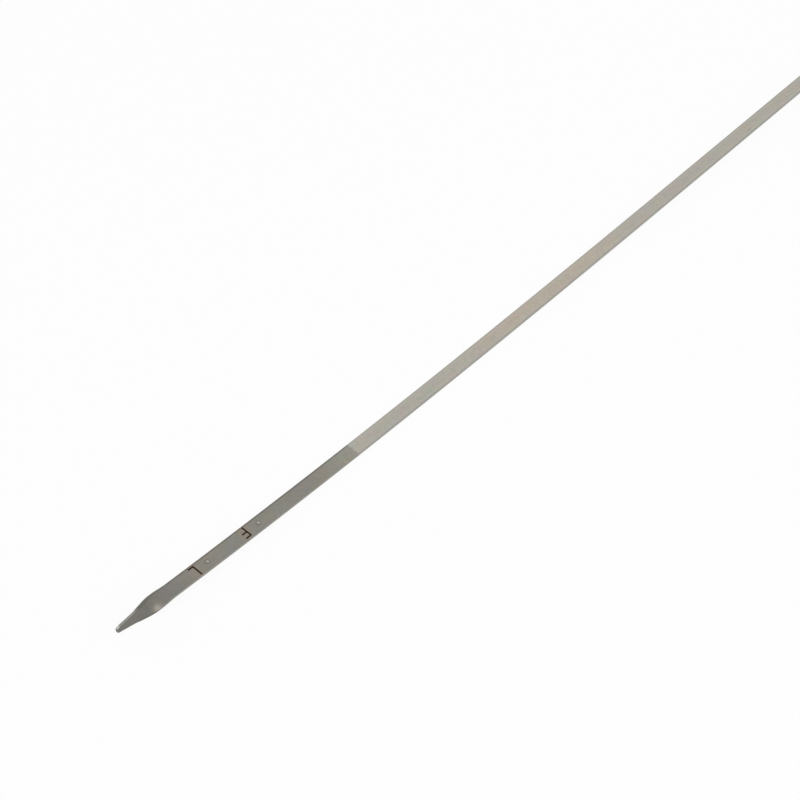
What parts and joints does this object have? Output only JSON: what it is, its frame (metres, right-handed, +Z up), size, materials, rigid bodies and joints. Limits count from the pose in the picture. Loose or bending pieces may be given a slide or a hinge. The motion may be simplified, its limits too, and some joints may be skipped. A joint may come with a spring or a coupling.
{
  "type": "engine oil dipstick",
  "caption": "Flat steel strip with a quarter-turn twisted point and punched level pits, held in a moulded plug handle with seal rings and a finger ring.",
  "frame": {"origin": "centre of the seat on the plug's axis, where the handle's shoulder meets the mouth of the dipstick tube", "axes": "+X along the plug's axis from the strip's tip to the finger ring, +Y across the strip's width, +Z up from the surface it lies on, square to the strip's flat faces"},
  "size_m": [0.4963, 0.0328, 0.012],
  "materials": {
    "strip_steel": "cold-rolled spring steel, satin, darker on the measuring end",
    "handle_plastic": "moulded glass-filled nylon, fine matt texture",
    "seal_rubber": "black moulded rubber"
  },
  "bodies": {
    "root": {"blade": "strip_steel", "pull_handle": "handle_plastic", "upper_seal_ring": "seal_rubber", "lower_seal_ring": "seal_rubber"}
  },
  "joints": []
}
